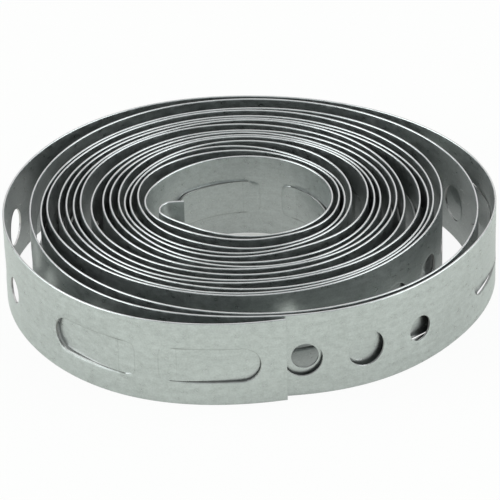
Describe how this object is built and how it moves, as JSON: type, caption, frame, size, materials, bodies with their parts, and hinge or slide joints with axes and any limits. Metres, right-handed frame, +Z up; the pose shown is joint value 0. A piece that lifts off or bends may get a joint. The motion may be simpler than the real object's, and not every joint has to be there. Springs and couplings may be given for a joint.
{
  "type": "perforated strap roll",
  "caption": "Loose roll of perforated galvanised steel strap with round nail and bolt holes and pairs of punched tongues, its inner end hooked.",
  "frame": {"origin": "middle of the roll's box, at the plane it stands on", "axes": "+Z up, along the roll's axis, across the strap's width; +X right and -Y towards the viewer of the side with the strap's outer end"},
  "size_m": [0.1036, 0.097, 0.019],
  "materials": {
    "strap": "galvanised, dull, with light spangle"
  },
  "bodies": {
    "root": {"strap": "strap"}
  },
  "joints": []
}
